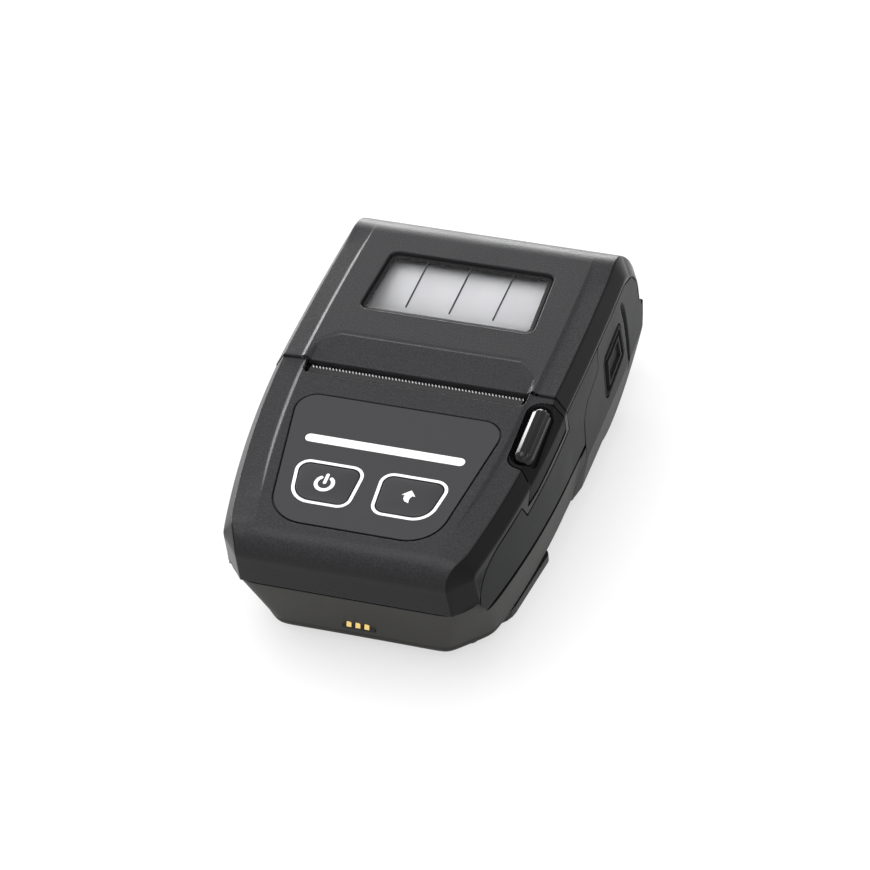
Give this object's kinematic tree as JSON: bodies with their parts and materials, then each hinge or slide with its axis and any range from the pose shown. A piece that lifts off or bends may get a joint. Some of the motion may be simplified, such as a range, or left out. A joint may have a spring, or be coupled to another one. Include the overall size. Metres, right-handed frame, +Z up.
{
  "type": "portable receipt printer",
  "caption": "Handheld battery receipt printer with a hinged paper lid, toothed tear bar, keypad panel, release lever and a removable battery in its base.",
  "frame": {"origin": "middle of the base: half way along and across, at the height of the table", "axes": "+X to the printer's right, +Y to the rear where the lid is hinged, +Z up"},
  "size_m": [0.079, 0.1314, 0.0468],
  "materials": {
    "shell": "fine grain",
    "shell_side": "satin",
    "overlay": "satin",
    "diffuser": "milky",
    "circuit": "solder mask",
    "steel": "plain",
    "black_plastic": "satin",
    "gold": "gold plated",
    "inner_plastic": "fine grain",
    "ribbon": "film",
    "brass": "turned",
    "smoke_window": "clear grey",
    "rubber": "ground",
    "gear_plastic": "satin",
    "paper": "smooth",
    "cardboard": "rough",
    "aluminium": "extruded",
    "ceramic": "glazed",
    "gloss_black": "gloss",
    "key_plastic": "satin",
    "cell_wrap": "film",
    "rubber_flap": "fine grain"
  },
  "bodies": {
    "case": {"lower_case": "shell", "rear_case": "shell", "left_side_cover": "shell_side", "right_side_cover": "shell_side", "front_cover": "shell", "panel_overlay": "overlay", "led_window": "diffuser", "key_board": "circuit", "key_board_screws": "steel", "tact_switches": "black_plastic", "status_leds": "diffuser", "main_board": "circuit", "board_chips": "black_plastic", "battery_contacts": "gold", "contact_block": "black_plastic", "charge_contacts": "gold", "io_board": "circuit", "dc_jack": "black_plastic", "usb_port": "steel", "main_frame": "inner_plastic", "head_frame": "steel", "head_pin": "steel", "head_springs": "steel", "head_ribbon": "ribbon", "tear_bar": "steel", "idler_pin": "steel", "motor_case": "steel", "case_screws": "steel", "frame_screws": "steel", "belt_insert": "brass", "hinge_pin": "steel", "lever_pin": "steel"},
    "lid": {"lid_cover": "shell", "lid_inner": "inner_plastic", "lid_window": "smoke_window", "window_ribs": "inner_plastic", "platen_bushes": "steel"},
    "platen": {"platen_roller": "rubber", "platen_shaft": "steel", "platen_gear": "gear_plastic"},
    "idler": {"idler_gear": "gear_plastic"},
    "rotor": {"motor_pinion": "brass"},
    "roll": {"paper_roll": "paper", "roll_core": "cardboard"},
    "head": {"heat_sink": "aluminium", "print_head": "ceramic"},
    "lever": {"release_lever": "gloss_black"},
    "power": {"power_key": "key_plastic", "power_plunger": "gear_plastic"},
    "feed": {"feed_key": "key_plastic", "feed_plunger": "gear_plastic"},
    "battery": {"battery_case": "shell", "battery_cells": "cell_wrap", "battery_terminals": "gold"},
    "latch": {"battery_latch": "black_plastic"},
    "port_flap": {"port_cover": "rubber_flap"}
  },
  "joints": [
    {"name": "lid_hinge", "type": "hinge", "parent": "case", "child": "lid", "pos_m": [0, 0.0633, 0.0225], "axis": [-1, 0, 0], "range_deg": [0, 95]},
    {"name": "platen_spin", "type": "hinge", "parent": "lid", "child": "platen", "pos_m": [0, 0.00205, 0.0385], "axis": [1, 0, 0], "continuous": true},
    {"name": "idler_spin", "type": "hinge", "parent": "case", "child": "idler", "pos_m": [0, 0.00003, 0.03076], "axis": [1, 0, 0], "continuous": true},
    {"name": "motor_spin", "type": "hinge", "parent": "case", "child": "rotor", "pos_m": [0, 0.00149, 0.01885], "axis": [1, 0, 0], "continuous": true},
    {"name": "roll_spin", "type": "hinge", "parent": "case", "child": "roll", "pos_m": [0, 0.0405, 0.02295], "axis": [1, 0, 0], "continuous": true},
    {"name": "head_pivot", "type": "hinge", "parent": "case", "child": "head", "pos_m": [0, -0.0047, 0.029], "axis": [1, 0, 0], "range_deg": [0, 3], "stiffness_Nm_per_rad": 0.5, "springref_deg": -6.88, "deforming": ["head_springs"]},
    {"name": "release_lever", "type": "hinge", "parent": "case", "child": "lever", "pos_m": [0, -0.0065, 0.042], "axis": [1, 0, 0], "range_deg": [0, 4.5], "stiffness_Nm_per_rad": 0.05, "springref_deg": -5.73},
    {"name": "power_press", "type": "slide", "parent": "case", "child": "power", "axis": [0, 0.0941, -0.9956], "range_m": [0, 0.0005], "stiffness_N_per_m": 1000, "springref_m": -0.0006},
    {"name": "feed_press", "type": "slide", "parent": "case", "child": "feed", "axis": [0, 0.0941, -0.9956], "range_m": [0, 0.0005], "stiffness_N_per_m": 1000, "springref_m": -0.0006},
    {"name": "battery_slide", "type": "slide", "parent": "case", "child": "battery", "axis": [0, 0, -1], "range_m": [0, 0.022]},
    {"name": "latch_slide", "type": "slide", "parent": "case", "child": "latch", "axis": [0, 1, 0], "range_m": [0, 0.0014], "stiffness_N_per_m": 300, "springref_m": -0.002},
    {"name": "port_flap_hinge", "type": "hinge", "parent": "case", "child": "port_flap", "pos_m": [0.03878, 0.0275, 0.026], "axis": [0, 0, -1], "range_deg": [0, 95]}
  ],
  "couplings": [
    {"joint": "idler_spin", "follows": "platen_spin", "ratio": -1.2857},
    {"joint": "motor_spin", "follows": "platen_spin", "ratio": 3.8571}
  ]
}
